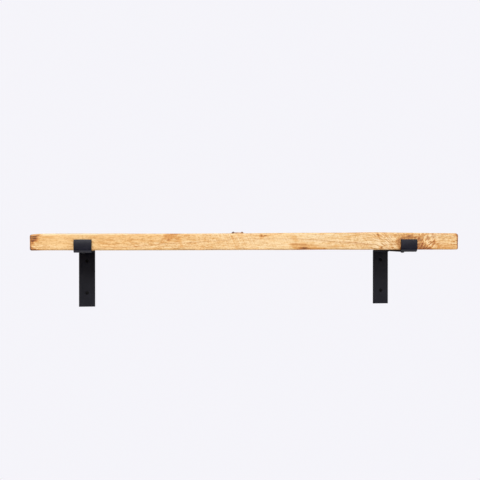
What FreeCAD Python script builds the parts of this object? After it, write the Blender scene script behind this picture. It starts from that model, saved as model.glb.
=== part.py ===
import FreeCAD, Part
import os
from math import cos, radians, sin
from FreeCAD import Vector

# Wall shelf: a softwood board on two brackets, each bent from one length of flat bar.
# Millimetres, +X to the right, +Z up, front towards -Y. The wall is the plane Y = 0,
# and the origin is the centre of the four wall screws.

# Board
BOARD_LENGTH = 1000.0
BOARD_DEPTH = 225.0
BOARD_THICKNESS = 38.0
BOARD_EDGE_ROUND = 4.0          # worn arrises; the front lower one beds in the bracket's bend
BOARD_LEFT_OVERHANG = 116.0     # end of the board to the middle of the left bracket
BOARD_RIGHT_OVERHANG = 124.0    # end of the board to the middle of the right bracket

# Flat-bar bracket: wall leg hanging down, arm under the board, lip in front of it
BAR_WIDTH = 40.0
BAR_THICKNESS = 5.0
BAR_EDGE_CHAMFER = 0.6          # eased edges along the bar and across its ends
LEG_HEIGHT = 145.0              # top of the arm to the lower end of the leg
LIP_HEIGHT = 25.0               # top of the arm to the top of the lip
LIP_CLEARANCE = 1.0             # front of the board to the lip
HOLE_CLEARANCE = 0.5            # added to a screw's diameter for its hole in the bar

# Countersunk wall screws: a plain neck through the leg, then the thread from the wall on
WALL_SCREW_DIAMETER = 5.0
WALL_SCREW_NECK = 4.2
WALL_SCREW_LENGTH = 50.0
WALL_SCREW_POINT = 6.0          # length of the tapered point
WALL_HEAD_DIAMETER = 10.0       # flush with the leg, on a 90 degree cone
UPPER_HOLE_DROP = 30.0          # top of the arm to the upper hole
LOWER_HOLE_RISE = 35.0          # lower end of the leg to the lower hole

# Pan-head screws from the arm up into the board
BOARD_SCREW_DIAMETER = 4.5
BOARD_SCREW_POINT = 4.5         # length of the tapered point
BOARD_SCREW_COVER = 14.0        # wood left above the point of the screw
PILOT_CLEARANCE = 0.1           # added to the screw's diameter for its hole in the wood
PILOT_END_GAP = 0.5             # hole left past the point of the screw
PAN_HEAD_DIAMETER = 9.0
PAN_HEAD_HEIGHT = 3.2
PAN_HEAD_RIM = 1.4              # straight edge of the head, next to its seat
PAN_HEAD_CROWN = 6.0            # flat of the crown, across
FRONT_SCREW_SETBACK = 45.0      # front of the board to the front screw
REAR_SCREW_SETBACK = 60.0       # wall to the rear screw

# Cross recess in every screw head
RECESS_SPAN = 5.0
RECESS_FOOT = 1.8
RECESS_WING = 1.1
RECESS_DEPTH = 2.2

# Sizes that follow from the driving ones
BEND_INNER_RADIUS = BOARD_EDGE_ROUND + LIP_CLEARANCE
BEND_OUTER_RADIUS = BEND_INNER_RADIUS + BAR_THICKNESS
LIP_INNER_Y = -(BOARD_DEPTH + LIP_CLEARANCE)
LIP_OUTER_Y = LIP_INNER_Y - BAR_THICKNESS
HOLE_SPACING = LEG_HEIGHT - UPPER_HOLE_DROP - LOWER_HOLE_RISE
ARM_TOP_Z = UPPER_HOLE_DROP + HOLE_SPACING / 2
ARM_UNDERSIDE_Z = ARM_TOP_Z - BAR_THICKNESS
BRACKET_SPACING = BOARD_LENGTH - BOARD_LEFT_OVERHANG - BOARD_RIGHT_OVERHANG
BOARD_LEFT_X = -BRACKET_SPACING / 2 - BOARD_LEFT_OVERHANG
BOARD_SCREW_LENGTH = BAR_THICKNESS + BOARD_THICKNESS - BOARD_SCREW_COVER

SIDES = {"left": -BRACKET_SPACING / 2, "right": BRACKET_SPACING / 2}
WALL_SCREW_LEVELS = {"upper": HOLE_SPACING / 2, "lower": -HOLE_SPACING / 2}
BOARD_SCREW_ROWS = {"front": FRONT_SCREW_SETBACK - BOARD_DEPTH, "rear": -REAR_SCREW_SETBACK}

INTO_WALL = Vector(0, 1, 0)
UP = Vector(0, 0, 1)
TOLERANCE = 1e-6


def bend_arc(centre, radius, start_angle, end_angle):
    """Arc in the YZ plane; angles in degrees from +Y towards +Z."""
    middle_angle = (start_angle + end_angle) / 2
    points = []
    for angle in (start_angle, middle_angle, end_angle):
        turn = radians(angle)
        points.append(centre + Vector(0, radius * cos(turn), radius * sin(turn)))
    return Part.Arc(*points).toShape()


def line(start, end):
    return Part.LineSegment(start, end).toShape()


def polyline(points):
    return [line(start, end) for start, end in zip(points, points[1:])]


def bracket_outline():
    """Side view of the bent bar, closed, at X = 0."""
    wall_bend = Vector(0, -BEND_OUTER_RADIUS, ARM_TOP_Z - BEND_OUTER_RADIUS)
    lip_bend = Vector(0, LIP_INNER_Y + BEND_INNER_RADIUS, ARM_TOP_Z + BEND_INNER_RADIUS)
    leg_end_z = ARM_TOP_Z - LEG_HEIGHT
    lip_end_z = ARM_TOP_Z + LIP_HEIGHT

    outer_wall_bend = bend_arc(wall_bend, BEND_OUTER_RADIUS, 0, 90)
    inner_lip_bend = bend_arc(lip_bend, BEND_INNER_RADIUS, 270, 180)
    outer_lip_bend = bend_arc(lip_bend, BEND_OUTER_RADIUS, 180, 270)
    inner_wall_bend = bend_arc(wall_bend, BEND_INNER_RADIUS, 90, 0)

    leg_back = Vector(0, 0, leg_end_z)
    lip_inner_top = Vector(0, LIP_INNER_Y, lip_end_z)
    lip_outer_top = Vector(0, LIP_OUTER_Y, lip_end_z)
    leg_front = Vector(0, -BAR_THICKNESS, leg_end_z)

    edges = [
        line(leg_back, outer_wall_bend.firstVertex(True).Point),
        outer_wall_bend,
        line(outer_wall_bend.lastVertex(True).Point, inner_lip_bend.firstVertex(True).Point),
        inner_lip_bend,
        line(inner_lip_bend.lastVertex(True).Point, lip_inner_top),
        line(lip_inner_top, lip_outer_top),
        line(lip_outer_top, outer_lip_bend.firstVertex(True).Point),
        outer_lip_bend,
        line(outer_lip_bend.lastVertex(True).Point, inner_wall_bend.firstVertex(True).Point),
        inner_wall_bend,
        line(inner_wall_bend.lastVertex(True).Point, leg_front),
        line(leg_front, leg_back),
    ]
    return Part.Wire(edges)


def is_bar_edge(edge):
    """True for the arrises along the bar's two sides and across its two ends."""
    points = [vertex.Point for vertex in edge.Vertexes]
    along_side = all(abs(abs(point.x) - BAR_WIDTH / 2) < TOLERANCE for point in points)
    same_side = abs(points[0].x - points[-1].x) < TOLERANCE
    end_levels = (ARM_TOP_Z - LEG_HEIGHT, ARM_TOP_Z + LIP_HEIGHT)
    across_end = any(
        all(abs(point.z - level) < TOLERANCE for point in points) for level in end_levels
    )
    return along_side and (same_side or across_end)


def countersunk_hole(level):
    """Cutter for one wall hole in the leg: clearance hole and 90 degree countersink."""
    hole_radius = (WALL_SCREW_DIAMETER + HOLE_CLEARANCE) / 2
    mouth_radius = WALL_HEAD_DIAMETER / 2
    mouth = Vector(0, -BAR_THICKNESS, level)
    hole = Part.makeCylinder(hole_radius, BAR_THICKNESS, mouth, INTO_WALL)
    sink = Part.makeCone(mouth_radius, hole_radius, mouth_radius - hole_radius, mouth, INTO_WALL)
    return hole.fuse(sink)


def bracket():
    """One bracket, bent from a flat bar, with its middle at X = 0."""
    face = Part.Face(bracket_outline())
    face.translate(Vector(-BAR_WIDTH / 2, 0, 0))
    bar = face.extrude(Vector(BAR_WIDTH, 0, 0))
    bar = bar.makeChamfer(BAR_EDGE_CHAMFER, [edge for edge in bar.Edges if is_bar_edge(edge)])
    for level in WALL_SCREW_LEVELS.values():
        bar = bar.cut(countersunk_hole(level))
    arm_hole_radius = (BOARD_SCREW_DIAMETER + HOLE_CLEARANCE) / 2
    for row in BOARD_SCREW_ROWS.values():
        foot = Vector(0, row, ARM_UNDERSIDE_Z)
        bar = bar.cut(Part.makeCylinder(arm_hole_radius, BAR_THICKNESS, foot, UP))
    return bar


def board():
    """The shelf board with worn arrises and blind pilot holes over the arms."""
    corner = Vector(BOARD_LEFT_X, -BOARD_DEPTH, ARM_TOP_Z)
    plank = Part.makeBox(BOARD_LENGTH, BOARD_DEPTH, BOARD_THICKNESS, corner)
    plank = plank.makeFillet(BOARD_EDGE_ROUND, plank.Edges)
    pilot_radius = (BOARD_SCREW_DIAMETER + PILOT_CLEARANCE) / 2
    pilot_depth = BOARD_SCREW_LENGTH - BAR_THICKNESS + PILOT_END_GAP
    for bracket_x in SIDES.values():
        for row in BOARD_SCREW_ROWS.values():
            mouth = Vector(bracket_x, row, ARM_TOP_Z)
            plank = plank.cut(Part.makeCylinder(pilot_radius, pilot_depth, mouth, UP))
    return plank


def cross_recess(head_top):
    """Cutter for a tapered cross recess that opens at head_top on the screw's own axis."""
    recess_floor = head_top + RECESS_DEPTH
    outline = Part.Wire(polyline([
        Vector(-RECESS_SPAN / 2, -RECESS_WING / 2, head_top),
        Vector(RECESS_SPAN / 2, -RECESS_WING / 2, head_top),
        Vector(RECESS_FOOT / 2, -RECESS_WING / 2, recess_floor),
        Vector(-RECESS_FOOT / 2, -RECESS_WING / 2, recess_floor),
        Vector(-RECESS_SPAN / 2, -RECESS_WING / 2, head_top),
    ]))
    wing = Part.Face(outline).extrude(Vector(0, RECESS_WING, 0))
    crossing = wing.copy()
    crossing.rotate(Vector(0, 0, 0), UP, 90)
    return wing.fuse(crossing)


def turned(profile):
    """Solid turned about the Z axis from (radius, height) points that start and end on it."""
    points = [Vector(radius, 0, height) for radius, height in profile + profile[:1]]
    return Part.Face(Part.Wire(polyline(points))).revolve(Vector(0, 0, 0), UP, 360)


def wall_screw():
    """Countersunk screw along +Z, with the top of its head at Z = 0."""
    head_radius = WALL_HEAD_DIAMETER / 2
    neck_radius = WALL_SCREW_NECK / 2
    thread_radius = WALL_SCREW_DIAMETER / 2
    cone_foot = head_radius - neck_radius
    screw = turned([
        (0, 0),
        (head_radius, 0),
        (neck_radius, cone_foot),
        (neck_radius, BAR_THICKNESS),
        (thread_radius, BAR_THICKNESS),
        (thread_radius, WALL_SCREW_LENGTH - WALL_SCREW_POINT),
        (0, WALL_SCREW_LENGTH),
    ])
    return screw.cut(cross_recess(0))


def pan_head_screw():
    """Pan-head screw along +Z, with the seat of its head at Z = 0."""
    head_radius = PAN_HEAD_DIAMETER / 2
    thread_radius = BOARD_SCREW_DIAMETER / 2
    screw = turned([
        (0, -PAN_HEAD_HEIGHT),
        (PAN_HEAD_CROWN / 2, -PAN_HEAD_HEIGHT),
        (head_radius, -PAN_HEAD_RIM),
        (head_radius, 0),
        (thread_radius, 0),
        (thread_radius, BOARD_SCREW_LENGTH - BOARD_SCREW_POINT),
        (0, BOARD_SCREW_LENGTH),
    ])
    return screw.cut(cross_recess(-PAN_HEAD_HEIGHT))


def build():
    """All pieces by name, each in its place on the shelf."""
    pieces = {"shelf_board": board()}
    for side, bracket_x in SIDES.items():
        arm = bracket()
        arm.translate(Vector(bracket_x, 0, 0))
        pieces[side + "_bracket"] = arm
        for level_name, level in WALL_SCREW_LEVELS.items():
            screw = wall_screw()
            screw.rotate(Vector(0, 0, 0), Vector(1, 0, 0), -90)
            screw.translate(Vector(bracket_x, -BAR_THICKNESS, level))
            pieces["wall_screw_" + side + "_" + level_name] = screw
        for row_name, row in BOARD_SCREW_ROWS.items():
            screw = pan_head_screw()
            screw.translate(Vector(bracket_x, row, ARM_UNDERSIDE_Z))
            pieces["board_screw_" + side + "_" + row_name] = screw
    return pieces


os.makedirs("parts", exist_ok=True)
for node, shape in build().items():
    shape.exportStep("parts/" + node + ".step")
    print(node, len(shape.Solids), "solid", round(shape.Volume), "mm3", shape.isValid())
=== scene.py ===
import math
from collections import namedtuple

import bmesh
import bpy
import numpy as np
from mathutils import Matrix, Vector


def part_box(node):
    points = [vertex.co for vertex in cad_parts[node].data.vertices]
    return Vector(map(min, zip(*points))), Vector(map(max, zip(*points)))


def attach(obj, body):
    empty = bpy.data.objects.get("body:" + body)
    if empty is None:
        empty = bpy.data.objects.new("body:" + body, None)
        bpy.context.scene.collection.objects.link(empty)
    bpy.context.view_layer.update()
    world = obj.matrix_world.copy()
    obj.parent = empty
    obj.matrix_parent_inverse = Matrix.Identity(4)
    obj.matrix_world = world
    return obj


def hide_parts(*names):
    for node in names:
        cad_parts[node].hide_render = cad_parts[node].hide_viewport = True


# Wall shelf: a worn softwood board on two black bent-bar brackets, with its screws.
# Metres, +X to the right, +Z up, front towards -Y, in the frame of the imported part.

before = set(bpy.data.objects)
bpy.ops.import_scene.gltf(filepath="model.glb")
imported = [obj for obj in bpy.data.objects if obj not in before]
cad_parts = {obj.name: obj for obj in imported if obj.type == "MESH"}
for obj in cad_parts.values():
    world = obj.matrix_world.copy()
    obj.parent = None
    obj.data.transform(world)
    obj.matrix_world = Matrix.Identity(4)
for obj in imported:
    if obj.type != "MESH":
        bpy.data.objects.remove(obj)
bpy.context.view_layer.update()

BOARD_LOW, BOARD_HIGH = (np.array(corner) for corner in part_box("shelf_board"))
FRONT = BOARD_LOW[1]
UNDERSIDE = BOARD_LOW[2]
TOP = BOARD_HIGH[2]
SIDES = ("left", "right")

# Camera, fitted to the edges of the board and the brackets in the photograph
CAMERA_PLACE = (-0.2851, -2.1410, 0.1037)
CAMERA_YAW = math.radians(7.784)        # to the right of straight ahead
CAMERA_PITCH = math.radians(-0.308)
CAMERA_LENS = 62.96                     # millimetres, on a sensor 36 mm wide

# Stage and light
WHITE = (1, 1, 1)
FLOOR_LEVEL = -2.15
FLOOR_RADIUS = 14.0
FLOOR_SIDES = 96
FLOOR_FADE = (1.5, 5.0)                 # distances over which the floor turns to plain backdrop
FLOOR_GLOW = 0.8                        # share of backdrop colour in the floor under the shelf
FLOOR_COLOUR = (0.62, 0.615, 0.64)
BACKDROP = (0.915, 0.908, 0.955)
AMBIENT = 0.52
# Brightness of the studio in reflections, by the sine of the elevation: a dark skirt round a pale floor
SHEEN_LEVELS = ((-1.0, 1.0), (-0.80, 0.90), (-0.56, 0.02), (0.04, 0.02), (0.12, 0.97), (0.20, 1.0))

# Lamps: the way towards each, its strength and its spread in degrees
Lamp = namedtuple("Lamp", "name towards strength spread")
LAMPS = (
    Lamp("key", (-0.12, -0.86, 0.53), 1.85, 38),
    Lamp("fill", (0.80, -0.70, 0.10), 0.42, 70),
)

# Smooth random unevenness: its usual height, its wavelengths along X, Y and Z, and its seed
Ripple = namedtuple("Ripple", "height wavelength seed")
RIPPLE_WAVES = 14
RIPPLE_PACES = (0.6, 1.5)               # least and greatest pace of its waves

# Board mesh
BOARD_STEPS = (0.0022, 0.0030, 0.0020)  # lattice spacing along, across and up the board
EASE = 0.004                            # mean radius of the worn arrises
EASE_TURNS = np.radians((45, 33.75, 22.5, 11.25))  # of the arris, at the lattice lines round it
EASE_RIPPLE = Ripple(0.35, (0.09, 0.05, 0.05), 3)
EASE_LIMITS = (0.5, 1.6)                # least and greatest radius, as shares of the mean
END_EASE = 0.002                        # more rounding at the right end
END_REACH = (4 * EASE, EASE)            # distances from the end over which it comes in
WAVINESS = Ripple(0.00030, (0.16, 0.06, 0.05), 11)
ARRIS_TURN = (0.02, 0.25)               # how far the normals turn off a face, up to the arris
BRUISES = Ripple(1.0, (0.035, 0.03, 0.03), 12)
BRUISE_LEVELS = (0.5, 1.6)              # heights of that ripple where dents begin and are deepest
BRUISE_DEPTH = 0.0012                   # dents along the arrises
CORNER_LOSS = 0.0032                    # worn top corner at the left end
CORNER_RUN = 0.016
KNOT_RISE = 0.0004                      # knots stand proud of the softer wood

# Low swellings of the top
Swell = namedtuple("Swell", "x width height")
SWELLS = (Swell(0.34, 0.13, 0.0026), Swell(0.12, 0.16, 0.0016))

# Growth rings of a flat-sawn plank: they run round a pith below the board, which dives at the right
PITH_Y = -0.135
PITH_Z = 0.028
PITH_TILT = -0.015                      # sideways run of the pith along the board
PITH_DIVE = 0.06                        # its drop, growing with the square of the way to the right
RING_SPACING = 0.0029
RING_DRIFT = Ripple(0.0030, (0.60, 0.10, 0.08), 5)
RING_WOBBLE = Ripple(0.0006, (0.09, 0.02, 0.02), 6)
QUIET_FIGURE = 0.66                     # strength of the ring lines in calm wood, against 1 in wild wood
SAWN_LOSS = 0.20                        # share of that strength lost on the rough-sawn edges,
TORN_LOSS = 0.8                         # in torn grain
COMBED_LOSS = 0.5                       # and in combed grain
SAWN_TURN = (0.3, 0.8)                  # part of the normals along Y, from the broad faces to the edges

# Knots, with their distances as shares of a knot's radius
KNOT_OUTLINE = Ripple(0.14, (0.02, 0.02, 0.012), 31)
KNOT_BLOTCH = Ripple(0.35, (0.025, 0.02, 0.012), 32)
BLOTCH_LIMITS = (0.5, 1.6)
KNOT_CURL = Ripple(0.0022, (0.018, 0.018, 0.012), 8)
KNOT_RINGS = 0.68                       # rings in knots lie further apart
KNOT_HEART = 0.0030                     # plain middle of a knot, in metres
KNOT_LEAST = 0.1                        # least radius of a knot that tapers off
KNOT_EDGE = (0.8, 1.2)                  # where a knot's own wood ends
RIM_PLACE = 0.95                        # dark rim of a knot
RIM_WIDTH = 0.25
HALO_REACH = 1.7
HALO_BROWN = 0.35                       # browning of the wood round a knot, against 1 at its rim
CORE_BROWN = 0.55                       # browning inside the rim

# flare is the change of the radius per metre along the axis, swirl and reach bend the grain round the knot
Knot = namedtuple("Knot", "at axis radius stretch flare brown swirl reach")
KNOTS = (
    # front face: by the right bracket, a pin knot beside it, another near the end
    Knot((0.3850, FRONT, 0.0840), (0.05, 1, -0.1), 0.0165, 1.95, -7.0, 0.75, 0.50, 1.7),
    Knot((0.3120, FRONT, 0.0755), (0, 1, 0), 0.0024, 1.3, -4.0, 1.50, 0.6, 2.5),
    Knot((0.4920, FRONT, 0.0890), (0, 1, 0), 0.0026, 1.2, -4.0, 0.80, 0.5, 2.5),
    # top and underside
    Knot((-0.3100, -0.095, TOP), (0.1, 0.2, 1), 0.0120, 1.4, 6.0, 0.85, 0.9, 2.3),
    Knot((0.1700, -0.060, TOP), (-0.1, -0.2, 1), 0.0150, 1.3, 6.0, 0.90, 0.95, 2.3),
    Knot((-0.0245, -0.190, TOP), (0, 0, 1), 0.0110, 1.2, 6.0, 1.60, 0.9, 2.3),
    Knot((0.0250, -0.160, UNDERSIDE), (0.1, -0.1, 1), 0.0080, 1.4, 4.0, 0.90, 0.9, 2.3),
)

# Soft ellipsoids, each with its place, its reach along X, Y and Z, and its strength; first brown stains
Patch = namedtuple("Patch", "at size strength")
STAINS = (
    # dark heart of the corner knot, and of the three-cornered knot
    Patch((-0.4850, FRONT, 0.0970), (0.0080, 0.010, 0.0056), 1.30),
    Patch((-0.4895, FRONT, 0.0890), (0.0032, 0.010, 0.0050), 1.10),
    Patch((-0.1935, FRONT, 0.1010), (0.0040, 0.006, 0.0060), 0.72),
    Patch((-0.1873, FRONT, 0.0940), (0.0042, 0.005, 0.0028), 1.00),
    Patch((-0.1800, FRONT, 0.1035), (0.0075, 0.006, 0.0032), 0.72),
    # dark foot of the streak, and the spot where it runs out
    Patch((0.1280, FRONT, 0.0735), (0.0220, 0.016, 0.0044), 1.06),
    Patch((0.1000, FRONT, 0.0828), (0.0055, 0.012, 0.0026), 0.66),
    Patch((0.1755, FRONT, 0.0722), (0.0040, 0.005, 0.0024), 0.95),
    # torn chip near the top arris
    Patch((0.0268, FRONT, 0.1008), (0.0046, 0.006, 0.0042), 1.00),
    # darker brown along the front top arris, from the middle to the right end
    Patch((0.2000, -0.2220, 0.1085), (0.1600, 0.006, 0.0024), 0.48),
    Patch((0.4500, -0.2220, 0.1085), (0.0500, 0.006, 0.0026), 0.42),
    # darker brown round the knot by the right bracket, close beside its lip
    Patch((0.3475, FRONT, 0.1015), (0.0060, 0.020, 0.0040), 0.70),
    Patch((0.3800, FRONT, 0.0968), (0.0270, 0.030, 0.0058), 0.78),
    Patch((0.3560, FRONT, 0.0860), (0.0060, 0.030, 0.0130), 0.84),
    Patch((0.4060, FRONT, 0.0760), (0.0110, 0.020, 0.0075), 0.92),
    Patch((0.4170, FRONT, 0.0845), (0.0032, 0.010, 0.0045), 0.85),
    Patch((0.4439, FRONT, 0.0890), (0.0060, 0.010, 0.0032), 0.85),
    # nubs of the knot on the top, and the crest between them
    Patch((-0.0350, -0.190, TOP), (0.0050, 0.006, 0.0080), 1.70),
    Patch((-0.0133, -0.190, TOP), (0.0050, 0.006, 0.0080), 1.70),
    Patch((-0.0242, -0.190, TOP), (0.0080, 0.005, 0.0080), 0.95),
    # foot of the front by the right end, and that end's upper corner
    Patch((0.4550, FRONT, 0.0750), (0.0400, 0.020, 0.0070), 0.28),
    Patch((0.5020, FRONT, 0.1050), (0.0070, 0.020, 0.0060), 1.05),
)
# Brown triangles on the front face: x and z of the corners, anticlockwise, how deep they go into the
# board and how soft their edges are
Mark = namedtuple("Mark", "corners depth soft strength")
MARKS = (
    # knot on the upper corner of the left end, and the dark lower corner
    Mark(((-0.4990, 0.1100), (-0.4915, 0.0840), (-0.4740, 0.1070)), 0.020, 0.0022, 0.95),
    Mark(((-0.4990, 0.0680), (-0.4720, 0.0690), (-0.4960, 0.0810)), 0.020, 0.0022, 1.00),
    # three-cornered knot on the top arris, with the grain that leans on it
    Mark(((-0.2010, TOP), (-0.1880, 0.0905), (-0.1600, TOP)), 0.018, 0.0022, 0.54),
    Mark(((-0.2020, 0.0950), (-0.2140, 0.0800), (-0.1960, 0.0900)), 0.012, 0.0028, 0.42),
    Mark(((-0.1740, 0.0990), (-0.1540, 0.0730), (-0.1610, 0.1010)), 0.012, 0.0028, 0.42),
    # tail of the chip, and a long saw mark
    Mark(((0.0310, 0.1000), (0.0500, 0.1045), (0.0345, 0.1032)), 0.006, 0.0012, 1.10),
    Mark(((-0.0450, 0.1035), (-0.0300, 0.0790), (-0.0408, 0.1020)), 0.005, 0.0010, 0.70),
    # flame-shaped streak and the wisps above it
    Mark(((0.0930, 0.0830), (0.1080, 0.0680), (0.1220, 0.0870)), 0.016, 0.0030, 0.52),
    Mark(((0.1080, 0.0680), (0.1820, 0.0690), (0.1220, 0.0870)), 0.016, 0.0030, 0.58),
    Mark(((0.0880, 0.0980), (0.1150, 0.0860), (0.1080, 0.1015)), 0.012, 0.0030, 0.38),
    # split beside the pin knot, and the low side of the knot by the right bracket
    Mark(((0.3010, 0.1050), (0.3130, 0.0870), (0.3060, 0.1050)), 0.005, 0.0012, 1.00),
    Mark(((0.3980, 0.0890), (0.4000, 0.0680), (0.4500, 0.0690)), 0.030, 0.0040, 1.00),
)
# Unevenness of the marks' edges, as a share of their softness
RAGGED = Ripple(0.5, (0.03, 0.02, 0.005), 41)
END_BROWN = 0.42                        # end grain is darker
# the ends' arrises carry the end grain's brown with painted shade over it
END_ARRIS_BROWN_AND_SHADE = 1.10                       # its arrises darker still
END_TURN = (0.03, 0.35)                 # part of the normals along X where the end's browning comes in
END_FACE = (0.5, 0.9)                   # and from the end's arrises to its face

# Tint of the wood, with painted shade along the lower front arris
HONEY_MEAN = 0.15
HONEY_DRIFT = Ripple(0.3, (0.30, 0.10, 0.03), 21)
HONEY_AND_ARRIS_SHADE = (                               # deeper orange wood, or with a minus sign paler
    Patch((-0.250, FRONT, 0.101), (0.220, 0.100, 0.016), 0.9),
    Patch((-0.380, FRONT, 0.084), (0.130, 0.100, 0.020), 0.75),
    Patch((-0.450, FRONT, 0.089), (0.060, 0.020, 0.040), 0.45),
    Patch((0.060, FRONT, 0.089), (0.160, 0.020, 0.060), 0.42),
    Patch((0.155, FRONT, 0.097), (0.060, 0.020, 0.012), -0.4),
    Patch((0.455, FRONT, 0.083), (0.060, 0.100, 0.022), 1.0),
    Patch((0.455, FRONT, 0.102), (0.045, 0.020, 0.006), -0.7),
    # painted shade along the lower front arris, as deeper orange wood
    Patch((0.000, -0.2235, 0.0705), (0.600, 0.008, 0.0035), 0.8),
)
# Painted highlight along the top arris at the left: paler wood, with less grain and less orange
ARRIS_HIGHLIGHT_PATCH = Patch((-0.360, -0.2235, 0.1085), (0.260, 0.008, 0.0050), 1.1)
HIGHLIGHT_GRAIN_LOSS = 0.4                         # how much of the grain the painted highlight takes off there

# Strokes on the front face that spread from a point below the board: torn grain, and finer combed grain
FAN_CENTRE = (0.385, FRONT, 0.045)
TORN = Patch((0.420, FRONT, 0.085), (0.034, 0.014, 0.022), 1.0)
COMBED = Patch((0.328, FRONT, 0.086), (0.042, 0.014, 0.030), 0.6)

# Saw marks: faint rows all over, stronger on the edges, and two clear rows
SAW_ROWS = Ripple(1.0, (0.25, 0.08, 0.08), 22)
SAW_LEVELS = (0.2, 1.2)                 # heights of that ripple where a row begins and is strongest
SAW_FAINT = 0.10
SAW_EDGES = 0.25
SCORES = (
    Patch((-0.020, FRONT, 0.088), (0.060, 0.060, 0.030), 0.50),
    Patch((0.240, FRONT, 0.095), (0.060, 0.060, 0.020), 0.6),
)
# Strong ring lines round the knot by the right bracket, and places with fainter grain
WILD = Patch((0.360, FRONT, 0.088), (0.110, 0.120, 0.060), 1.0)
CALM = (
    Patch((0.060, FRONT, 0.089), (0.160, 0.020, 0.060), 0.45),
    Patch((-0.400, FRONT, 0.089), (0.110, 0.020, 0.060), 0.35),
)
# Depths of wood lost, or with a minus sign stood proud
GOUGES = (
    Patch((0.0268, FRONT, 0.1008), (0.0046, 0.006, 0.0042), 0.0014),
    Patch((0.0390, FRONT, 0.1028), (0.0070, 0.005, 0.0016), 0.0008),
    # knot on the top near the front, worn to a low crest with two nubs
    Patch((-0.0350, -0.190, TOP), (0.0029, 0.0040, 0.0100), -0.0036),
    Patch((-0.0133, -0.190, TOP), (0.0029, 0.0040, 0.0100), -0.0036),
    Patch((-0.0245, -0.190, TOP), (0.0100, 0.0045, 0.0100), -0.0022),
)

# Flat-bar brackets
BAR_THICKNESS = 0.005
BEND_INNER = 0.005                      # inside radius of both bends
BEND_STEPS = 16
BAR_EDGE = 0.0009                       # rounding of the coated edges
EDGE_STEPS = 4
TIP_TURNS = np.radians((75, 50, 25, 0))  # of the rounding, inwards from the tip of the bar
LIP_STEPS = 6
LIP_BOW = 0.0005                        # how far the middle of the lip bulges forward
UPRIGHT = math.pi / 2                   # heading of a bar that runs up
BAR_CREASE = math.radians(40)           # edges between faces that meet more sharply stay sharp

# Screws, along +Z from the head
SCREW_SIDES = 36                        # no corner of the recess falls on an edge between two sides
SCREW_CREASE = math.radians(30)
WALL_HEAD_RADIUS = 0.0050
WALL_HEAD_SINK = 0.0005                 # head below the face of the leg
WALL_HEAD_PLAY = 0.0001
WALL_HEAD_EASE = 0.00025                # rounding of the head's rim,
WALL_HEAD_RIM = ((1.5, 0), (0.8, 0.3), (1, 1))  # as points inwards and down, in shares of that easing
WALL_HOLE_RADIUS = 0.00275
WALL_NECK = 0.0021
PAN_RADIUS = 0.0045
PAN_HEIGHT = 0.0032
PAN_RIM = 0.0012
PAN_STEPS = 8
BOARD_NECK = 0.0020
BOARD_HOLE_RADIUS = 0.0025
THREAD_SIDES = 16
THREAD_WIDTH = 0.22                     # half width of the ridge, as a share of the pitch
Thread = namedtuple("Thread", "core crest pitch point")
WALL_THREAD = Thread(core=0.0016, crest=0.0025, pitch=0.0024, point=0.006)
BOARD_THREAD = Thread(core=0.00145, crest=0.00225, pitch=0.0020, point=0.0045)
RECESS_SPAN = 0.0050
RECESS_FOOT = 0.0018
RECESS_WING = 0.0011
RECESS_DEPTH = 0.0022
CUT_MARGIN = 0.0003                     # cutters reach this far out of what they cut
SPIN = math.radians(137.5)              # each screw stopped at another angle

# Noises of the materials: waves per metre along X, Y and Z, detail and roughness
Noise = namedtuple("Noise", "pace detail roughness", defaults=(3.0, 0.5))
NOISE_SPAN = (0.3, 0.7)                 # most of a noise's values lie between these
FIBRE = Noise((14, 420, 420), 4.0, 0.6)
FLECK = Noise((38, 230, 230), 3.0, 0.6)
HAIR = Noise((50, 1600, 1600), 2.0)
PORE = Noise((170, 2400, 2400), 1.0)
DASH = Noise((60, 460, 460), 2.0)
TUFT = Noise((210, 430, 430), 2.0)
TUFT_HAIR = 0.5                         # share of the hairs in the tufts
FRAY = Noise((160, 420, 420))
FAN_BEND = Noise((60, 60, 60), 1.0)
FAN_BEND_ANGLE = 0.14
TORN_STROKES = Noise((17, 80, 1), 2.0)  # waves per radian round the fan and per metre outwards
COMBED_STROKES = Noise((30, 50, 1), 2.0)
COAT_GRIT = Noise((900, 900, 900), 2.0)
COAT_CLOUD = Noise((45, 45, 45))
ZINC_CLOUD = Noise((400, 400, 400))

# Colours of the wood
EARLY_WOOD = (0.985, 0.782, 0.488)
LATE_WOOD = (0.60, 0.26, 0.058)
PALE_WOOD = (1.0, 0.83, 0.56)
HONEY_AND_SHADE_TINT = (0.965, 0.82, 0.61)
# Shades that come with low values of a noise: the values where a shade is full and where it ends
Shade = namedtuple("Shade", "full none colour")
FIBRE_SHADE = Shade(0.30, 0.62, (0.88, 0.78, 0.63))
FLECK_SHADE = Shade(0.34, 0.48, (0.86, 0.69, 0.45))
HAIR_SHADE = Shade(0.36, 0.46, (0.84, 0.76, 0.63))
PORE_SHADE = Shade(0.26, 0.32, (0.74, 0.54, 0.34))
DASH_SHADE = Shade(0.34, 0.46, (0.92, 0.81, 0.63))
TUFT_SHADE = Shade(0.64, 0.73, (0.80, 0.63, 0.40))
# painted shade in the grooves of the saw marks
SAW_GROOVE_SHADE = Shade(0.40, 0.51, (0.89, 0.76, 0.57))
TORN_SHADE = Shade(0.40, 0.48, (0.50, 0.24, 0.075))
COMBED_SHADE = Shade(0.40, 0.48, (0.62, 0.36, 0.14))
# Pale wood that comes with high values of a noise: where it begins, where it is full, its greatest share
Tip = namedtuple("Tip", "none full most")
DASH_TIP = Tip(0.50, 0.72, 0.35)
# painted highlight on the ridges of the saw marks
SAW_RIDGE_HIGHLIGHT = Tip(0.54, 0.66, 0.3)
STROKE_TIP = Tip(0.52, 0.60, 1.0)
# Browning, from sound wood to a knot's heart, and what frays its borders
BROWNING = (
    (0.00, WHITE),
    (0.30, (0.91, 0.76, 0.55)),
    (0.55, (0.71, 0.47, 0.26)),
    (0.80, (0.46, 0.26, 0.13)),
    (1.00, (0.12, 0.07, 0.05)),
)
BROWN_BASE = 0.17
BROWN_FRAY = 0.5
BROWN_FIBRE = 0.5
BROWN_LATE = 0.35

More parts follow.
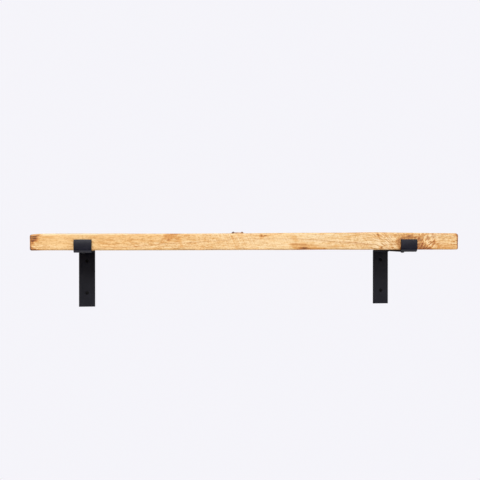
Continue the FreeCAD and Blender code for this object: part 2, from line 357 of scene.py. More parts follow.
# Ring lines and saw marks as drawn on the wood
FIBRE_SHIFT = 0.0022                    # shift of the rings from fibre to fibre
YEAR_PACE = 130.0                       # unevenness of the years, in waves per metre of depth
YEAR_SHIFT = 0.0030
YEAR_VIGOUR = (0.9, 0.35)               # range of the years' strength, above its least value
LATE_LEVELS = ((0.0, 0), (0.45, 0.1), (0.8, 0.7), (0.92, 1), (1.0, 0))  # darkness through one year
LATE_RELIEF = 0.4                       # how far late wood stands out, against 1 for fibres and saw marks
SAW_DIRECTION = (0.906, 0.32, 0.423)    # across the saw marks
SAW_PACE = 330.0
SAW_BREAKS = (0.32, 0.50)               # values of the flecks between which the saw marks break off

# Black coat and black zinc
COAT_COLOURS = ((0.0030, 0.0027, 0.0090), (0.0045, 0.0041, 0.0125))
ZINC_COLOURS = ((0.004, 0.004, 0.005), (0.010, 0.009, 0.011))


def unit(vector):
    vector = np.asarray(vector, float)
    return vector / np.linalg.norm(vector)


def smooth(value, start, end):
    """0 before start, 1 after end, smooth between them."""
    share = np.clip((value - start) / (end - start), 0, 1)
    return share * share * (3 - 2 * share)


def ripple(points, kind):
    """The ripple's unevenness at each point, to both sides of 0."""
    draw = np.random.default_rng(kind.seed)
    heading = draw.normal(size=(RIPPLE_WAVES, 3))
    heading /= np.linalg.norm(heading, axis=1, keepdims=True)
    pace = draw.uniform(*RIPPLE_PACES, size=(RIPPLE_WAVES, 1))
    turns = 2 * math.pi * heading * pace / np.asarray(kind.wavelength)
    phase = draw.uniform(0, 2 * math.pi, size=RIPPLE_WAVES)
    return kind.height * (np.sin(points @ turns.T + phase).sum(axis=1) / math.sqrt(RIPPLE_WAVES))


def blob(points, patch):
    """Soft ellipsoid about a patch's place, with the patch's strength in its middle."""
    offset = (points - patch.at) / patch.size
    return patch.strength * np.exp(-(offset ** 2).sum(axis=1))


def blobs(points, patches):
    return sum(blob(points, patch) for patch in patches)


def triangle(points, mark, ragged):
    """Soft-edged triangle on the front face, with the mark's strength inside it."""
    x, z = points[:, 0], points[:, 2]
    corners = mark.corners
    edges = []
    for (x0, z0), (x1, z1) in zip(corners, corners[1:] + corners[:1]):
        run, rise = x1 - x0, z1 - z0
        edges.append((run * (z - z0) - rise * (x - x0)) / math.hypot(run, rise))
    inside = np.min(edges, axis=0) + mark.soft * ragged
    fade = np.exp(-((points[:, 1] - FRONT) / mark.depth) ** 2)
    return mark.strength * (smooth(inside, -mark.soft, mark.soft) * fade)


def link_object(name, data):
    holder = bpy.data.objects.new(name, data)
    bpy.context.scene.collection.objects.link(holder)
    return holder


def add_piece(name, mesh, node):
    piece = link_object(name, mesh)
    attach(piece, "root")
    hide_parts(node)
    return piece


# Board

def lattice_lines(low, high, step):
    """Positions across one side of the board, closer together round its two arrises."""
    rim = EASE * (1 - np.tan(EASE_TURNS))
    count = round((high - low - 2 * EASE) / step)
    inner = np.linspace(low + EASE, high - EASE, count + 1)
    return np.concatenate([low + rim, inner, (high - rim)[::-1]])


def box_lattice(low, high):
    """Points and outward quads of a closed box, divided along lattice lines."""
    lines = [lattice_lines(*side) for side in zip(low, high, BOARD_STEPS)]
    shell = np.ones([len(line) for line in lines], bool)
    shell[1:-1, 1:-1, 1:-1] = False
    index = np.zeros(shell.shape, int)
    index[shell] = np.arange(shell.sum())
    points = np.stack([line[i] for line, i in zip(lines, np.nonzero(shell))], axis=1)
    quads = []
    for axis in range(3):
        for end in (0, -1):
            sheet = np.take(index, end, axis)
            quad = np.stack([sheet[:-1, :-1], sheet[1:, :-1], sheet[1:, 1:], sheet[:-1, 1:]], axis=-1)
            faces_out = (end == -1) != (axis == 1)
            quads.append(quad.reshape(-1, 4)[:, ::1 if faces_out else -1])
    return points, np.concatenate(quads)


def eased(points):
    """The box's points on worn, unevenly rounded arrises, with outward normals."""
    radius = EASE * np.clip(1 + ripple(points, EASE_RIPPLE), *EASE_LIMITS)
    radius += END_EASE * smooth(BOARD_HIGH[0] - points[:, 0], *END_REACH)
    radius = radius[:, None]
    core = np.clip(points, BOARD_LOW + radius, BOARD_HIGH - radius)
    normal = points - core
    normal /= np.linalg.norm(normal, axis=1, keepdims=True)
    return core + radius * normal, normal


# The points as the grain bends round the knots, and the knots' own wood, ring depth and browning
KnotFields = namedtuple("KnotFields", "warped core ring browns")


def knot_fields(points):
    """What the knots do to the wood at each point."""
    warped = points.copy()
    core = np.zeros(len(points))
    ring = np.zeros(len(points))
    browns = []
    outline = 1 + ripple(points, KNOT_OUTLINE)
    blotch = np.clip(1 + ripple(points, KNOT_BLOTCH), *BLOTCH_LIMITS)
    for knot in KNOTS:
        axis = unit(knot.axis)
        offset = points - knot.at
        along = offset @ axis
        across = offset - along[:, None] * axis
        distance = np.linalg.norm(across / (knot.stretch, 1, 1), axis=1)
        radius = knot.radius * np.maximum(1 + knot.flare * along, KNOT_LEAST)
        share = distance / radius * outline
        push = knot.swirl * np.exp(-(share / knot.reach) ** 2)
        warped -= push[:, None] * across
        inside = 1 - smooth(share, *KNOT_EDGE)
        rim = np.exp(-((share - RIM_PLACE) / RIM_WIDTH) ** 2)
        halo = HALO_BROWN * np.exp(-(share / HALO_REACH) ** 2)
        browns.append(knot.brown * blotch * np.max([CORE_BROWN * inside, rim, halo], axis=0))
        ring = np.where(inside > core, KNOT_RINGS * np.hypot(distance, KNOT_HEART), ring)
        core = np.maximum(core, inside)
    return KnotFields(warped, core, ring, browns)


def ring_depth(points, knots):
    """Way through the growth rings, from the pith or in a knot from its middle."""
    x, y, z = knots.warped.T
    pith_y = PITH_Y + PITH_TILT * x
    pith_z = PITH_Z - PITH_DIVE * np.maximum(x, 0) ** 2
    depth = np.hypot(y - pith_y, z - pith_z)
    depth += ripple(points, RING_DRIFT)
    depth += ripple(points, RING_WOBBLE)
    return depth * (1 - knots.core) + (knots.ring + ripple(points, KNOT_CURL)) * knots.core


def browning(points, normal, knots):
    """The darkest browning at each point: of the ends, with painted shade on their arrises, the knots, the
    stains or the marks.
    """
    endward = np.abs(normal[:, 0])
    # end grain brown, darker on the ends' arrises as painted shade
    end_brown_and_shade = END_BROWN + (END_ARRIS_BROWN_AND_SHADE - END_BROWN) * (1 - smooth(endward, *END_FACE))
    ragged = ripple(points, RAGGED)
    browns = [end_brown_and_shade * smooth(endward, *END_TURN), *knots.browns]
    browns += [blob(points, patch) for patch in STAINS]
    browns += [triangle(points, mark, ragged) for mark in MARKS]
    return np.max(browns, axis=0)


def wood_fields(points, normal, knots):
    """Values at each point of the board from which its material draws the wood."""
    sawn = smooth(np.abs(normal[:, 1]), *SAWN_TURN)
    torn = blob(points, TORN)
    combed = blob(points, COMBED)
    # painted highlight on the top arris at the left: it thins the grain here and the orange tint below
    pale = blob(points, ARRIS_HIGHLIGHT_PATCH)
    wild = np.maximum(knots.core, blob(points, WILD))
    grain = np.clip(1 - HIGHLIGHT_GRAIN_LOSS * pale - blobs(points, CALM), 0, 1)
    figure = (QUIET_FIGURE + (1 - QUIET_FIGURE) * wild) * (1 - SAWN_LOSS * sawn)
    figure *= (1 - TORN_LOSS * torn) * (1 - COMBED_LOSS * combed) * grain
    scored = (SAW_FAINT + SAW_EDGES * sawn) * smooth(ripple(points, SAW_ROWS), *SAW_LEVELS)
    honey_and_painted_light = HONEY_MEAN + ripple(points, HONEY_DRIFT) + blobs(points, HONEY_AND_ARRIS_SHADE)
    return {
        "ring": ring_depth(points, knots),
        "torn": torn,
        "combed": combed,
        "scored": np.clip(scored + blobs(points, SCORES), 0, 1),
        "sawn": sawn * grain,
        "grain": grain,
        "figure": figure,
        "brown": browning(points, normal, knots),
        "honey_and_painted_light": np.clip(honey_and_painted_light - pale, 0, 1),
    }


def worn(points, normal, knots):
    """The board's surface after use: wavy, swollen, bruised and chipped."""
    x, z = points[:, 0], points[:, 2]
    upward = smooth(z, UNDERSIDE, TOP)
    arris = smooth(1 - np.abs(normal).max(axis=1), *ARRIS_TURN)
    height = ripple(points, WAVINESS)
    height += KNOT_RISE * knots.core
    height -= BRUISE_DEPTH * arris * smooth(ripple(points, BRUISES), *BRUISE_LEVELS)
    for patch in GOUGES:
        height -= blob(points, patch)
    moved = points + height[:, None] * normal
    swell = sum(part.height * np.exp(-((x - part.x) / part.width) ** 2) for part in SWELLS)
    moved[:, 2] += upward * (swell - CORNER_LOSS * np.exp(-(x - BOARD_LOW[0]) / CORNER_RUN))
    moved[:, 2] = np.maximum(moved[:, 2], UNDERSIDE)
    return moved


def board_piece(material):
    points, quads = box_lattice(BOARD_LOW, BOARD_HIGH)
    points, normal = eased(points)
    knots = knot_fields(points)
    mesh = bpy.data.meshes.new("board")
    mesh.from_pydata(worn(points, normal, knots).tolist(), [], quads.tolist())
    for name, values in wood_fields(points, normal, knots).items():
        attribute = mesh.attributes.new(name, "FLOAT", "POINT")
        attribute.data.foreach_set("value", values.astype(np.float32))
    mesh.shade_smooth()
    mesh.materials.append(material)
    add_piece("board", mesh, "shelf_board")


# Meshes of the metal pieces

def mesh_from(name, shape):
    """Mesh of a finished shape, which is freed."""
    mesh = bpy.data.meshes.new(name)
    shape.to_mesh(mesh)
    shape.free()
    return mesh


def mesh_of(name, points, faces):
    """A closed mesh with its normals outward."""
    shape = bmesh.new()
    corners = [shape.verts.new(point) for point in points]
    for face in faces:
        shape.faces.new([corners[i] for i in face])
    bmesh.ops.recalc_face_normals(shape, faces=shape.faces)
    return mesh_from(name, shape)


def tube_faces(rings, sides):
    """Quads between successive rings of points."""
    faces = []
    for ring in range(rings - 1):
        for side in range(sides):
            after = (side + 1) % sides
            low, high = ring * sides, (ring + 1) * sides
            faces.append((low + side, low + after, high + after, high + side))
    return faces


def prism_faces(rings, sides):
    """Quads between successive rings of points, and one face over each end."""
    last = (rings - 1) * sides
    return [*tube_faces(rings, sides), range(sides), range(last, last + sides)]


def round_point(radius, turn, height):
    """Point at an angle about Z."""
    return (radius * math.cos(turn), radius * math.sin(turn), height)


def close_round(points, faces, sides, start, end):
    """Closes the first and the last ring of points with a fan round a pole at each height."""
    for first, height in ((0, start), (len(points) - sides, end)):
        pole = len(points)
        points.append((0, 0, height))
        faces += [(first + side, first + (side + 1) % sides, pole) for side in range(sides)]


def lathe(profile):
    """Closed mesh turned about Z from (radius, height) points between two poles."""
    (_, start), *rings, (_, end) = profile
    turns = [2 * math.pi * side / SCREW_SIDES for side in range(SCREW_SIDES)]
    points = [round_point(radius, turn, height) for radius, height in rings for turn in turns]
    faces = tube_faces(len(rings), SCREW_SIDES)
    close_round(points, faces, SCREW_SIDES, start, end)
    return mesh_of("turned", points, faces)


def carved(mesh, cutters):
    """The mesh with the cutters' shapes taken out of it."""
    block = link_object("block", mesh)
    tools = [link_object("tool", cutter) for cutter in cutters]
    for tool in tools:
        cut = block.modifiers.new("cut", "BOOLEAN")
        cut.operation = "DIFFERENCE"
        cut.solver = "EXACT"
        cut.object = tool
    ready = block.evaluated_get(bpy.context.evaluated_depsgraph_get())
    result = bpy.data.meshes.new_from_object(ready)
    for item in [block, *tools]:
        bpy.data.objects.remove(item)
    return result


def placed(mesh, seat):
    """The mesh moved to its seat."""
    mesh.transform(seat)
    return mesh


def surfaced(mesh, material, crease):
    """The mesh in one material, smooth but for edges sharper than the crease angle."""
    mesh.shade_smooth()
    mesh.set_sharp_from_angle(angle=crease)
    mesh.materials.clear()
    mesh.materials.append(material)
    return mesh


# Brackets

# One place on the bar's middle line, its heading and how far the bar's outline draws in there
Station = namedtuple("Station", "y z heading inset")


def bar_width():
    low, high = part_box("left_bracket")
    return high.x - low.x


def bar_section(inset):
    """Rounded outline of the flat bar, drawn in by inset: across the bar and through it."""
    outline = []
    radius = BAR_EDGE - inset
    half_width = bar_width() / 2 - BAR_EDGE
    half_thickness = BAR_THICKNESS / 2 - BAR_EDGE
    for corner, (across, through) in enumerate(((1, 1), (-1, 1), (-1, -1), (1, -1))):
        for step in range(EDGE_STEPS + 1):
            turn = math.pi / 2 * (corner + step / EDGE_STEPS)
            outline.append((
                across * half_width + radius * math.cos(turn),
                through * half_thickness + radius * math.sin(turn),
            ))
    return outline


def rounded_end(y, tip, inward):
    """Stations from the tip of an upright end; inward is 1 where the bar runs up from it, else -1."""
    stations = []
    for turn in TIP_TURNS:
        level = tip + inward * BAR_EDGE * (1 - math.sin(turn))
        stations.append(Station(y, level, UPRIGHT, BAR_EDGE * (1 - math.cos(turn))))
    return stations


def bend(y, z, start, sweep):
    """Stations round a bend about y and z, from the angle start on by sweep."""
    radius = BEND_INNER + BAR_THICKNESS / 2
    stations = []
    for step in range(BEND_STEPS + 1):
        turn = start + sweep * step / BEND_STEPS
        heading = turn + math.copysign(math.pi / 2, sweep)
        stations.append(Station(y + radius * math.cos(turn), z + radius * math.sin(turn), heading, 0))
    return stations


def bowed_lip(y, foot, top):
    """Stations up the lip, which bulges forward between foot and top."""
    rise = top - foot
    stations = []
    for step in range(1, LIP_STEPS):
        share = step / LIP_STEPS
        bulge = 4 * LIP_BOW * share * (1 - share)
        lean = 4 * LIP_BOW * (1 - 2 * share) / rise
        stations.append(Station(y - bulge, foot + share * rise, UPRIGHT + lean, 0))
    return stations


def bar_stations(low, high):
    """Stations of the bent bar, from the foot of the leg to the top of the lip."""
    outer = BEND_INNER + BAR_THICKNESS
    leg_y = high.y - BAR_THICKNESS / 2
    lip_y = low.y + BAR_THICKNESS / 2
    lip_foot = UNDERSIDE + BEND_INNER
    return [
        *rounded_end(leg_y, low.z, 1),
        *bend(high.y - outer, UNDERSIDE - outer, 0, math.pi / 2),
        *bend(low.y + outer, lip_foot, 3 * math.pi / 2, -math.pi / 2),
        *bowed_lip(lip_y, lip_foot, high.z - BAR_EDGE),
        *reversed(rounded_end(lip_y, high.z, -1)),
    ]


def bent_bar(low, high):
    """Mesh of one bracket before its holes."""
    middle_x = (low.x + high.x) / 2
    points = []
    stations = bar_stations(low, high)
    for y, z, heading, inset in stations:
        side_y, side_z = -math.sin(heading), math.cos(heading)
        for across, through in bar_section(inset):
            points.append((middle_x + across, y + through * side_y, z + through * side_z))
    sides = len(points) // len(stations)
    return mesh_of("bar", points, prism_faces(len(stations), sides))


def wall_hole():
    """Cutter for a countersunk hole through the leg, from its front."""
    return lathe((
        (0, -CUT_MARGIN),
        (WALL_HEAD_RADIUS + CUT_MARGIN, -CUT_MARGIN),
        (WALL_HOLE_RADIUS, WALL_HEAD_RADIUS - WALL_HOLE_RADIUS),
        (WALL_HOLE_RADIUS, BAR_THICKNESS + CUT_MARGIN),
        (0, BAR_THICKNESS + CUT_MARGIN),
    ))


def arm_hole():
    """Cutter for a plain hole through the arm, from its underside."""
    return lathe((
        (0, -CUT_MARGIN),
        (BOARD_HOLE_RADIUS, -CUT_MARGIN),
        (BOARD_HOLE_RADIUS, BAR_THICKNESS + CUT_MARGIN),
        (0, BAR_THICKNESS + CUT_MARGIN),
    ))


def wall_seat(node):
    """Middle of a wall screw's head on the face of the leg, with +Z turned into the wall."""
    low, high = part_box(node)
    place = Vector(((low.x + high.x) / 2, low.y, (low.z + high.z) / 2))
    return Matrix.Translation(place) @ Matrix.Rotation(-math.pi / 2, 4, "X")


def board_seat(node):
    """Middle of a board screw's head where it meets the arm, with +Z up."""
    low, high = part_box(node)
    return Matrix.Translation(((low.x + high.x) / 2, (low.y + high.y) / 2, low.z + PAN_HEIGHT))


def bracket_piece(side, material):
    node = side + "_bracket"
    cutters = [placed(wall_hole(), wall_seat(f"wall_screw_{side}_{level}")) for level in ("upper", "lower")]
    cutters += [placed(arm_hole(), board_seat(f"board_screw_{side}_{row}")) for row in ("front", "rear")]
    mesh = surfaced(carved(bent_bar(*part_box(node)), cutters), material, BAR_CREASE)
    piece = add_piece("bracket_" + side, mesh, node)
    piece.modifiers.new("flat_faces", "WEIGHTED_NORMAL").keep_sharp = True


# Screws

def cross_recess(top):
    """Cutter for a tapered cross recess that opens at top."""
    points = []
    taper = (RECESS_SPAN - RECESS_FOOT) / RECESS_DEPTH
    wing = RECESS_WING / 2
    for depth in (-CUT_MARGIN, RECESS_DEPTH):
        arm = (RECESS_SPAN - taper * depth) / 2
        for quarter in range(4):
            turn = Matrix.Rotation(quarter * math.pi / 2, 3, "Z")
            for corner in ((arm, -wing), (arm, wing), (wing, wing)):
                points.append(turn @ Vector((*corner, top + depth)))
    return mesh_of("recess", points, prism_faces(2, len(points) // 2))


def threaded_shank(start, end, thread):
    """Closed screw shank with a helical ridge that runs out at both ends."""
    step = thread.pitch / THREAD_SIDES
    rings = int((end - start) / step)
    points = []
    for ring in range(rings):
        height = start + ring * step
        taper = min(1, (end - height) / thread.point)
        run_in = min(1, (height - start) / thread.pitch)
        for side in range(THREAD_SIDES):
            phase = ((ring - side) / THREAD_SIDES) % 1
            ridge = max(0, 1 - abs(phase - 0.5) / THREAD_WIDTH) * run_in
            radius = taper * (thread.core + (thread.crest - thread.core) * ridge)
            points.append(round_point(radius, 2 * math.pi * side / THREAD_SIDES, height))
    faces = []
    for near, beside, far, above in tube_faces(rings, THREAD_SIDES):
        faces += [(near, beside, far), (near, far, above)]
    close_round(points, faces, THREAD_SIDES, start, end)
    return mesh_of("shank", points, faces)


def joined(first, second):
    """One mesh with both shells."""
    shape = bmesh.new()
    shape.from_mesh(first)
    shape.from_mesh(second)
    return mesh_from("screw", shape)


def wall_screw(length):
    """Countersunk screw; its shank starts inside the neck of the head."""
    top = WALL_HEAD_SINK
    rim = WALL_HEAD_RADIUS - WALL_HEAD_PLAY - top
    overlap = BAR_THICKNESS + CUT_MARGIN
    head = lathe((
        (0, top),
        *((rim - inward * WALL_HEAD_EASE, top + down * WALL_HEAD_EASE) for inward, down in WALL_HEAD_RIM),
        (WALL_NECK, top + rim - WALL_NECK),
        (WALL_NECK, overlap),
        (0, overlap),
    ))
    head = carved(head, [cross_recess(top)])
    return joined(head, threaded_shank(BAR_THICKNESS, length, WALL_THREAD))


def board_screw(length):
    """Screw with a domed pan head; its shank starts inside the neck of the head."""
    crown = PAN_HEIGHT - PAN_RIM
    profile = []
    for step in range(PAN_STEPS + 1):
        turn = math.pi / 2 * (1 - step / PAN_STEPS)
        profile.append((PAN_RADIUS * math.cos(turn), -PAN_RIM - crown * math.sin(turn)))
    overlap = BAR_THICKNESS + CUT_MARGIN
    profile += [(PAN_RADIUS, 0), (BOARD_NECK, 0), (BOARD_NECK, overlap), (0, overlap)]
    head = carved(lathe(profile), [cross_recess(-PAN_HEIGHT)])
    return joined(head, threaded_shank(BAR_THICKNESS, length, BOARD_THREAD))


def screw_piece(node, mesh, seat, number, material):
    placed(mesh, seat @ Matrix.Rotation(SPIN * number, 4, "Z"))
    surfaced(mesh, material, SCREW_CREASE)
    use, _, place = node.split("_", 2)
    add_piece(f"screw_{use}_{place}", mesh, node)


def screw_pieces(material):
    for number, node in enumerate(sorted(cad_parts)):
        low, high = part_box(node)
        if node.startswith("wall_screw"):
            screw_piece(node, wall_screw(high.y - low.y), wall_seat(node), number, material)
        elif node.startswith("board_screw"):
            length = high.z - low.z - PAN_HEIGHT
            screw_piece(node, board_screw(length), board_seat(node), number, material)


# Materials

class Nodes:
    """Short calls that add nodes to the tree of a material or the world."""

    def __init__(self, owner):
        owner.use_nodes = True
        self.owner = owner
        self.tree = owner.node_tree

    def node(self, kind, inputs=(), **settings):
        node = self.tree.nodes.new("ShaderNode" + kind)
        for name, value in settings.items():
            setattr(node, name, value)
        for socket, value in dict(inputs).items():
            self.feed(value, node.inputs[socket])
        return node

    def feed(self, value, socket):
        if isinstance(value, bpy.types.NodeSocket):
            self.tree.links.new(value, socket)
        elif socket.type == "RGBA":
            socket.default_value = (*value, 1)
        else:
            socket.default_value = value

    def math(self, operation, *values):
        return self.node("Math", enumerate(values), operation=operation).outputs[0]

    def place(self):
        return self.node("TexCoord").outputs["Object"]

    def dot(self, vector, direction):
        return self.node("VectorMath", {0: vector, 1: direction}, operation="DOT_PRODUCT").outputs["Value"]

    def length(self, vector):
        return self.node("VectorMath", {0: vector}, operation="LENGTH").outputs["Value"]

    def noise(self, vector, kind):
        place = self.node("Mapping", {"Vector": vector, "Scale": kind.pace}).outputs[0]
        inputs = {"Vector": place, "Scale": 1.0, "Detail": kind.detail, "Roughness": kind.roughness}
        return self.node("TexNoise", inputs).outputs[0]

    def line_noise(self, run, pace):
        """Noise along one line, with the given number of waves per metre."""
        inputs = {"W": self.math("MULTIPLY", run, pace), "Scale": 1.0, "Detail": 2.0}
        return self.node("TexNoise", inputs, noise_dimensions="1D").outputs[0]

    def attribute(self, name):
        return self.node("Attribute", attribute_name=name).outputs["Fac"]

    def range(self, value, start, end, low=0.0, high=1.0):
        sockets = {"Value": value, "From Min": start, "From Max": end, "To Min": low, "To Max": high}
        return self.node("MapRange", sockets, interpolation_type="SMOOTHSTEP").outputs[0]

    def ramp(self, value, stops):
        """Colour ramp through pairs of a position and a colour."""
        node = self.node("ValToRGB", {"Fac": value})
        elements = node.color_ramp.elements
        while len(elements) < len(stops):
            elements.new(1.0)
        for element, (position, colour) in zip(elements, stops):
            element.position = position
            element.color = (*colour, 1)
        return node.outputs["Color"]

    def levels(self, value, stops):
        """Grey ramp through pairs of a position and a level."""
        return self.ramp(value, [(position, (level, level, level)) for position, level in stops])

    def drift(self, noise, colours):
        """Colour that drifts between two colours with the noise."""
        return self.ramp(noise, list(zip(NOISE_SPAN, colours)))

    def mix(self, factor, first, second, blend="MIX"):
        node = self.node("Mix", data_type="RGBA", blend_type=blend)
        self.feed(factor, node.inputs["Factor"])
        self.feed(first, node.inputs[6])
        self.feed(second, node.inputs[7])
        return node.outputs[2]

    def darken(self, share, colour, noise, shade):
        """The colour under a share of the shade where the noise is low."""
        tint = self.ramp(noise, [(shade.full, shade.colour), (shade.none, WHITE)])
        return self.mix(share, colour, tint, "MULTIPLY")

    def lighten(self, share, colour, noise, tip):
        """The colour turned by a share to pale wood where the noise is high."""
        pale = self.math("MULTIPLY", share, self.range(noise, tip.none, tip.full, 0.0, tip.most))
        return self.mix(pale, colour, PALE_WOOD)

    def bump(self, height, strength, distance):
        inputs = {"Height": height, "Strength": strength, "Distance": distance}
        return self.node("Bump", inputs).outputs[0]

    def seen_directly(self):
        """1 for camera, glossy and transmission rays, which all show the plain backdrop."""
        path = self.node("LightPath").outputs
        bent = self.math("MAXIMUM", path["Is Glossy Ray"], path["Is Transmission Ray"])
        return self.math("MAXIMUM", path["Is Camera Ray"], bent)

    def principled(self, **values):
        surface = self.tree.nodes["Principled BSDF"]
        for name, value in values.items():
            self.feed(value, surface.inputs[name.replace("_", " ")])
        return self.owner

    def show(self, output, factor, first, second):
        """Sends a blend of two shaders to the named output."""
        blend = self.node("MixShader", {0: factor, 1: first.outputs[0], 2: second.outputs[0]})
        self.feed(blend.outputs[0], self.tree.nodes[output].inputs["Surface"])


def ring_lines(nodes, fibre):
    """Late wood through each year's growth, and how dark its lines are drawn."""
    depth = nodes.math("MULTIPLY_ADD", fibre, FIBRE_SHIFT, nodes.attribute("ring"))
    uneven = nodes.line_noise(depth, YEAR_PACE)
    years = nodes.math("DIVIDE", nodes.math("MULTIPLY_ADD", uneven, YEAR_SHIFT, depth), RING_SPACING)
    late = nodes.levels(nodes.math("FRACT", years), LATE_LEVELS)
    year = nodes.node("TexWhiteNoise", {"W": nodes.math("FLOOR", years)}, noise_dimensions="1D")
    vigour = nodes.math("MULTIPLY_ADD", year.outputs["Value"], *YEAR_VIGOUR)
    strength = nodes.math("MULTIPLY", nodes.attribute("figure"), vigour)
    return late, nodes.math("MULTIPLY", late, strength)


def sawn_edges(nodes, colour, place, hair):
    """The colour with the dashes and tufts of the rough-sawn edges."""
    sawn = nodes.attribute("sawn")
    dash = nodes.noise(place, DASH)
    tuft = nodes.math("MULTIPLY_ADD", hair, TUFT_HAIR, nodes.noise(place, TUFT))
    rough = nodes.darken(1.0, colour, dash, DASH_SHADE)
    rough = nodes.darken(1.0, rough, tuft, TUFT_SHADE)
    return nodes.lighten(sawn, nodes.mix(sawn, colour, rough), dash, DASH_TIP)


def saw_marks(nodes, colour, saw, fleck):
    """The colour with broken rows of saw marks, with painted shade in their grooves and a painted highlight
    on their ridges.
    """
    share = nodes.math("MULTIPLY", nodes.attribute("scored"), nodes.range(fleck, *SAW_BREAKS))
    colour = nodes.darken(share, colour, saw, SAW_GROOVE_SHADE)
    return nodes.lighten(share, colour, saw, SAW_RIDGE_HIGHLIGHT)


def spread_strokes(nodes, place, kind):
    """Noise drawn out in short strokes that spread, a little bent, from the middle of the fan."""
    offset = nodes.node("VectorMath", {0: place, 1: FAN_CENTRE}, operation="SUBTRACT").outputs[0]
    parts = nodes.node("SeparateXYZ", {0: offset}).outputs
    angle = nodes.math("ARCTAN2", parts["Z"], parts["X"])
    bent = nodes.math("MULTIPLY_ADD", nodes.noise(place, FAN_BEND), FAN_BEND_ANGLE, angle)
    polar = nodes.node("CombineXYZ", {"X": bent, "Y": nodes.length(offset)}).outputs[0]
    return nodes.noise(polar, kind)


def spread_grain(nodes, colour, place):
    """The colour with the torn and the combed grain on both sides of the right bracket."""
    for name, kind, shade in (
        ("torn", TORN_STROKES, TORN_SHADE),
        ("combed", COMBED_STROKES, COMBED_SHADE),
    ):
        share = nodes.attribute(name)
        strokes = spread_strokes(nodes, place, kind)
        colour = nodes.darken(share, colour, strokes, shade)
        colour = nodes.lighten(share, colour, strokes, STROKE_TIP)
    return colour


def frayed_brown(nodes, place, fibre, late):
    """Tint of the ends, knots, stains and marks, with frayed borders."""
    fray = nodes.math("MULTIPLY_ADD", nodes.noise(place, FRAY), BROWN_FRAY, BROWN_BASE)
    fray = nodes.math("MULTIPLY_ADD", late, BROWN_LATE, fray)
    fray = nodes.math("MULTIPLY_ADD", fibre, BROWN_FIBRE, fray)
    return nodes.ramp(nodes.math("MULTIPLY", nodes.attribute("brown"), fray), BROWNING)


def wood():
    nodes = Nodes(bpy.data.materials.new("honey_pine"))
    place = nodes.place()
    fibre = nodes.noise(place, FIBRE)
    fleck = nodes.noise(place, FLECK)
    hair = nodes.noise(place, HAIR)
    pore = nodes.noise(place, PORE)
    saw = nodes.line_noise(nodes.dot(place, SAW_DIRECTION), SAW_PACE)
    grain = nodes.attribute("grain")
    late, lines = ring_lines(nodes, fibre)
    colour = nodes.mix(lines, EARLY_WOOD, LATE_WOOD)
    colour = nodes.darken(grain, colour, fibre, FIBRE_SHADE)
    colour = nodes.darken(grain, colour, fleck, FLECK_SHADE)
    colour = nodes.darken(grain, colour, hair, HAIR_SHADE)
    colour = nodes.darken(grain, colour, pore, PORE_SHADE)
    colour = sawn_edges(nodes, colour, place, hair)
    # orange tint of the wood, with painted shade along the lower front arris, and less of it under the
    # painted highlight on the left top arris
    colour = nodes.mix(nodes.attribute("honey_and_painted_light"), colour, HONEY_AND_SHADE_TINT, "MULTIPLY")
    colour = saw_marks(nodes, colour, saw, fleck)
    colour = spread_grain(nodes, colour, place)
    brown = frayed_brown(nodes, place, fibre, late)
    relief = nodes.math("ADD", nodes.math("MULTIPLY", late, LATE_RELIEF), nodes.math("ADD", fibre, saw))
    return nodes.principled(
        Base_Color=nodes.mix(1.0, colour, brown, "MULTIPLY"),
        Roughness=nodes.range(fibre, *NOISE_SPAN, low=0.64, high=0.46),
        Normal=nodes.bump(relief, strength=0.4, distance=0.0004),
    )


def powder_coat():
    nodes = Nodes(bpy.data.materials.new("black_powder_coat"))
    place = nodes.place()
    cloud = nodes.noise(place, COAT_CLOUD)
    return nodes.principled(
        Base_Color=nodes.drift(cloud, COAT_COLOURS),
        Roughness=nodes.range(cloud, *NOISE_SPAN, low=0.36, high=0.44),
        Specular_IOR_Level=0.40,
        Normal=nodes.bump(nodes.noise(place, COAT_GRIT), strength=0.2, distance=0.0002),
    )


def black_zinc():
    nodes = Nodes(bpy.data.materials.new("black_zinc"))
    cloud = nodes.noise(nodes.place(), ZINC_CLOUD)
    return nodes.principled(
        Base_Color=nodes.drift(cloud, ZINC_COLOURS),
        Roughness=nodes.range(cloud, *NOISE_SPAN, low=0.36, high=0.50),
        Specular_IOR_Level=0.2,
        Metallic=0.4,
    )


def pale_floor():
    """Matt floor that turns to the plain backdrop away from the shelf."""
    nodes = Nodes(bpy.data.materials.new("pale_floor"))
    nodes.principled(Base_Color=FLOOR_COLOUR, Roughness=0.9, Specular_IOR_Level=0.1)
    fade = nodes.range(nodes.length(nodes.place()), *FLOOR_FADE, low=FLOOR_GLOW, high=1.0)
    glow = nodes.math("MULTIPLY", nodes.seen_directly(), fade)
    matt = nodes.tree.nodes["Principled BSDF"]
    nodes.show("Material Output", glow, matt, nodes.node("Emission", {"Color": BACKDROP}))
    return nodes.owner


# Stage, light and camera

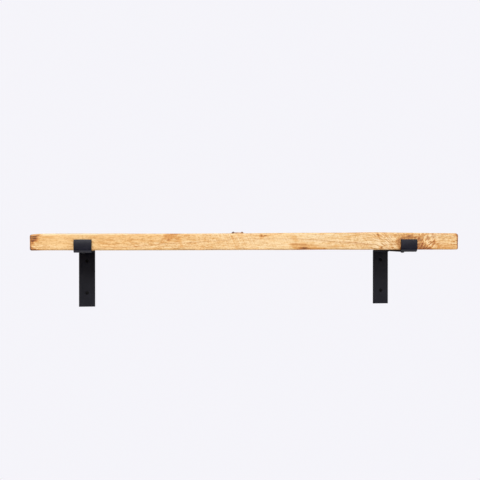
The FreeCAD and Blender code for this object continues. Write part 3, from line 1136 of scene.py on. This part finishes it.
def add_lamp(lamp):
    light = bpy.data.lights.new(lamp.name, "SUN")
    light.energy = lamp.strength
    light.angle = math.radians(lamp.spread)
    holder = link_object(lamp.name, light)
    holder.rotation_mode = "QUATERNION"
    holder.rotation_quaternion = (-Vector(lamp.towards)).to_track_quat("-Z", "Y")


def studio():
    """Even light all round, seen as the backdrop and reflected as a studio with a dark skirt."""
    world = bpy.data.worlds.new("studio")
    bpy.context.scene.world = world
    nodes = Nodes(world)
    ambient = nodes.tree.nodes["Background"]
    nodes.feed(WHITE, ambient.inputs["Color"])
    nodes.feed(AMBIENT, ambient.inputs["Strength"])
    direction = nodes.node("TexCoord").outputs["Generated"]
    # the ramp takes sines from -1 to 1 as positions from 0 to 1
    rise = nodes.math("MULTIPLY_ADD", nodes.dot(direction, (0, 0, 1)), 0.5, 0.5)
    sheen = nodes.levels(rise, [((sine + 1) / 2, level) for sine, level in SHEEN_LEVELS])
    dimming = nodes.math("SUBTRACT", 1.0, sheen)
    dimmed = nodes.math("MULTIPLY", dimming, nodes.node("LightPath").outputs["Is Glossy Ray"])
    strength = nodes.math("SUBTRACT", 1.0, dimmed)
    backdrop = nodes.node("Background", {"Color": BACKDROP, "Strength": strength})
    nodes.show("World Output", nodes.seen_directly(), ambient, backdrop)


def floor():
    shape = bmesh.new()
    bmesh.ops.create_circle(shape, cap_ends=True, radius=FLOOR_RADIUS, segments=FLOOR_SIDES)
    mesh = mesh_from("floor", shape)
    mesh.materials.append(pale_floor())
    ground = link_object("floor", mesh)
    ground.location.z = FLOOR_LEVEL
    ground.visible_glossy = False


def camera():
    data = bpy.data.cameras.new("camera")
    data.lens = CAMERA_LENS
    holder = link_object("camera", data)
    holder.location = CAMERA_PLACE
    holder.rotation_euler = (math.pi / 2 + CAMERA_PITCH, 0, -CAMERA_YAW)
    bpy.context.scene.camera = holder


camera()
studio()
floor()
for lamp in LAMPS:
    add_lamp(lamp)
board_piece(wood())
coat = powder_coat()
for side in SIDES:
    bracket_piece(side, coat)
screw_pieces(black_zinc())

bpy.context.scene.view_settings.view_transform = "Standard"
